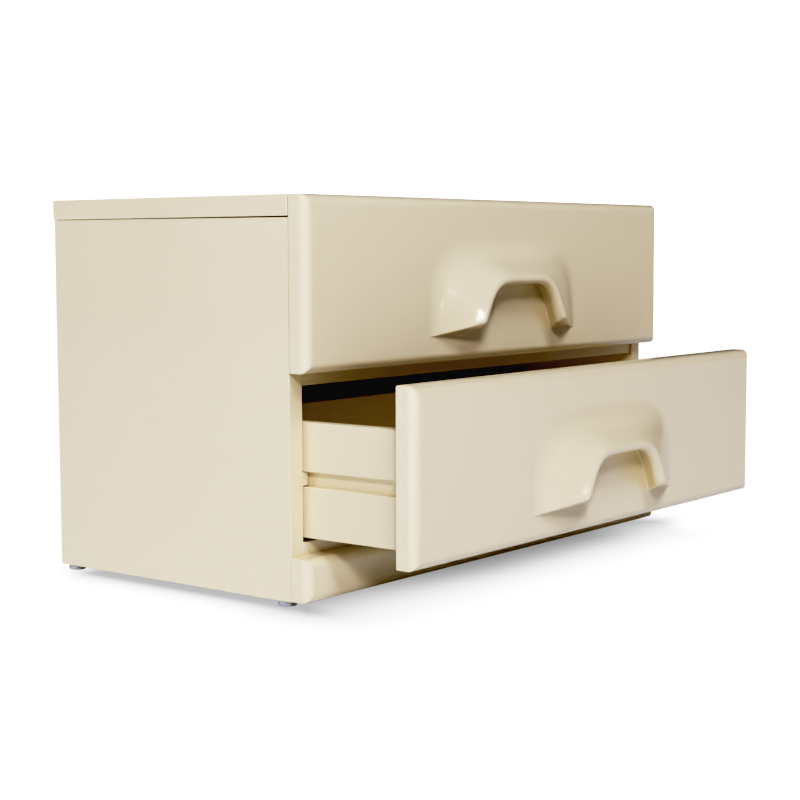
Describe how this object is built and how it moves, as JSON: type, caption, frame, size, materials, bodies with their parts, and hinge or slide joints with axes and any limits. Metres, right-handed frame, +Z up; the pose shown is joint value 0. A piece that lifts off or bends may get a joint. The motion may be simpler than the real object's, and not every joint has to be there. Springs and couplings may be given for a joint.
{
  "type": "chest of drawers",
  "caption": "Low floor-standing chest with full-width drawers on side runners, rounded drawer fronts with hood-shaped pulls, a plinth and floor glides.",
  "frame": {"origin": "middle of the footprint of the whole object as posed (lower drawer drawn out 156 mm), on the floor", "axes": "+X along the width to the object's right seen from the front, the drawers open towards -Y, +Z up"},
  "size_m": [0.8, 0.6244, 0.481],
  "materials": {
    "cream_lacquer": "satin cream lacquer over filled board",
    "box_lacquer": "satin cream lacquer, drawer boxes and runners",
    "thin_board": "matt cream painted thin board",
    "dowel_wood": "raw fluted beech",
    "screw_steel": "bright zinc-plated",
    "glide_plastic": "matt grey moulded"
  },
  "bodies": {
    "root": {"side_panel_left": "cream_lacquer", "side_panel_right": "cream_lacquer", "top_panel": "cream_lacquer", "bottom_panel": "cream_lacquer", "middle_rail": "cream_lacquer", "plinth_rail": "cream_lacquer", "plinth_front": "cream_lacquer", "back_panel": "thin_board", "lower_runner_left": "box_lacquer", "lower_runner_right": "box_lacquer", "upper_runner_left": "box_lacquer", "upper_runner_right": "box_lacquer", "floor_glides": "glide_plastic", "glide_screws": "screw_steel", "carcass_dowels": "dowel_wood", "runner_screws": "screw_steel", "back_panel_screws": "screw_steel", "plinth_screws": "screw_steel"},
    "lower_drawer": {"lower_drawer_front": "cream_lacquer", "lower_handle_hood": "cream_lacquer", "lower_box_side_left": "box_lacquer", "lower_box_side_right": "box_lacquer", "lower_box_front": "box_lacquer", "lower_box_back": "box_lacquer", "lower_box_bottom": "thin_board", "lower_box_dowels": "dowel_wood", "lower_front_screws": "screw_steel", "lower_bottom_screws": "screw_steel", "lower_hood_dowels": "dowel_wood"},
    "upper_drawer": {"upper_drawer_front": "cream_lacquer", "upper_handle_hood": "cream_lacquer", "upper_box_side_left": "box_lacquer", "upper_box_side_right": "box_lacquer", "upper_box_front": "box_lacquer", "upper_box_back": "box_lacquer", "upper_box_bottom": "thin_board", "upper_box_dowels": "dowel_wood", "upper_front_screws": "screw_steel", "upper_bottom_screws": "screw_steel", "upper_hood_dowels": "dowel_wood"}
  },
  "joints": [
    {"name": "upper_drawer_slide", "type": "slide", "parent": "root", "child": "upper_drawer", "axis": [0, -1, 0], "range_m": [0, 0.25]},
    {"name": "lower_drawer_slide", "type": "slide", "parent": "root", "child": "lower_drawer", "axis": [0, -1, 0], "range_m": [-0.156, 0.094]}
  ]
}
